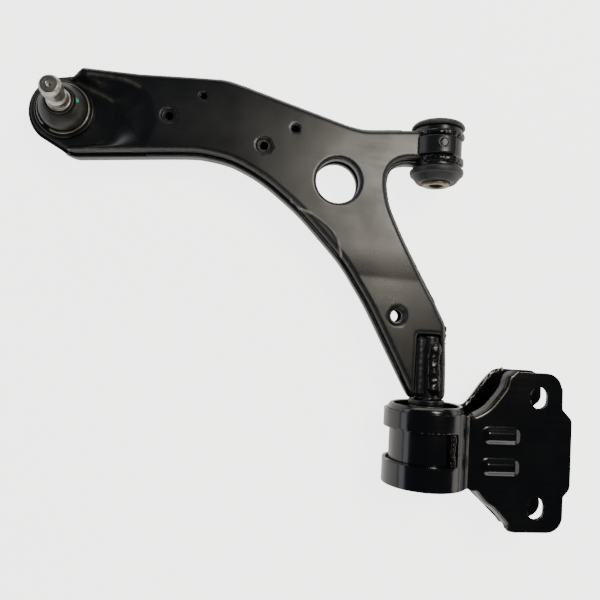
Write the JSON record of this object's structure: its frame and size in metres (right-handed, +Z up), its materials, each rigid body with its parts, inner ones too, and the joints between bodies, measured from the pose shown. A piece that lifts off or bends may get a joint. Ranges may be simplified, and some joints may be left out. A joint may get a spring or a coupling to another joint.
{
  "type": "suspension control arm",
  "caption": "Front lower suspension arm: two welded pressings with a ball joint, a small front bush and a large rear bush in a bolted bracket.",
  "frame": {"origin": "centre of the bounding box's footprint, on the floor that the bracket's bands rest on", "axes": "+X from the ball joint to the bracket, +Y towards the front bush along the pivot axis, +Z up along the ball stud"},
  "size_m": [0.5015, 0.394, 0.0926],
  "materials": {
    "black_paint": "semi-gloss black electrocoat",
    "painted_weld": "weld bead under black paint",
    "plated_steel": "zinc-plated, dull",
    "bare_steel": "turned, oiled",
    "rubber": "matte",
    "seat_plastic": "natural"
  },
  "bodies": {
    "arm": {"upper_shell": "black_paint", "lower_shell": "black_paint", "seam_weld_concave": "painted_weld", "seam_weld_front": "painted_weld", "seam_weld_leg": "painted_weld", "front_housing_tube": "black_paint", "front_outer_sleeve": "plated_steel", "front_rubber": "rubber", "front_weld_long": "painted_weld", "front_weld_short": "painted_weld", "front_plug_weld": "painted_weld", "rear_pin": "black_paint", "pin_weld_upper_near": "painted_weld", "pin_weld_upper_far": "painted_weld", "pin_weld_lower_near": "painted_weld", "pin_weld_lower_far": "painted_weld", "rear_inner_sleeve": "plated_steel", "ball_joint_housing": "black_paint", "housing_cover": "plated_steel", "ball_seat": "seat_plastic"},
    "bracket": {"rear_bracket": "black_paint", "rear_outer_ring": "black_paint", "rear_rubber": "rubber", "bracket_weld_upper": "painted_weld", "bracket_weld_lower": "painted_weld"},
    "front_sleeve": {"front_inner_sleeve": "plated_steel"},
    "boot": {"dust_boot": "rubber", "boot_lower_ring": "plated_steel"},
    "boot_clip": {"boot_upper_ring": "plated_steel"},
    "stud": {"ball_stud": "bare_steel"}
  },
  "joints": [
    {"name": "rear_bush_twist", "type": "hinge", "parent": "arm", "child": "bracket", "pos_m": [0.118, -0.121, 0.0383], "axis": [0, 1, 0], "range_deg": [-20, 20], "stiffness_Nm_per_rad": 110},
    {"name": "front_bush_twist", "type": "hinge", "parent": "arm", "child": "front_sleeve", "pos_m": [0.118, 0.1522, 0.0383], "axis": [0, 1, 0], "range_deg": [-20, 20], "stiffness_Nm_per_rad": 60},
    {"name": "boot_turn", "type": "hinge", "parent": "arm", "child": "boot", "pos_m": [-0.2215, 0.1572, 0.0353], "axis": [0, 0, 1], "continuous": true},
    {"name": "stud_tilt", "type": "hinge", "parent": "boot", "child": "boot_clip", "pos_m": [-0.2215, 0.1572, 0.0353], "axis": [-0.8387, 0.5446, 0], "range_deg": [-23, 17], "deforming": ["dust_boot"]},
    {"name": "stud_spin", "type": "hinge", "parent": "boot_clip", "child": "stud", "pos_m": [-0.2215, 0.1572, 0.0353], "axis": [0.0314, 0.0483, 0.9983], "continuous": true}
  ]
}
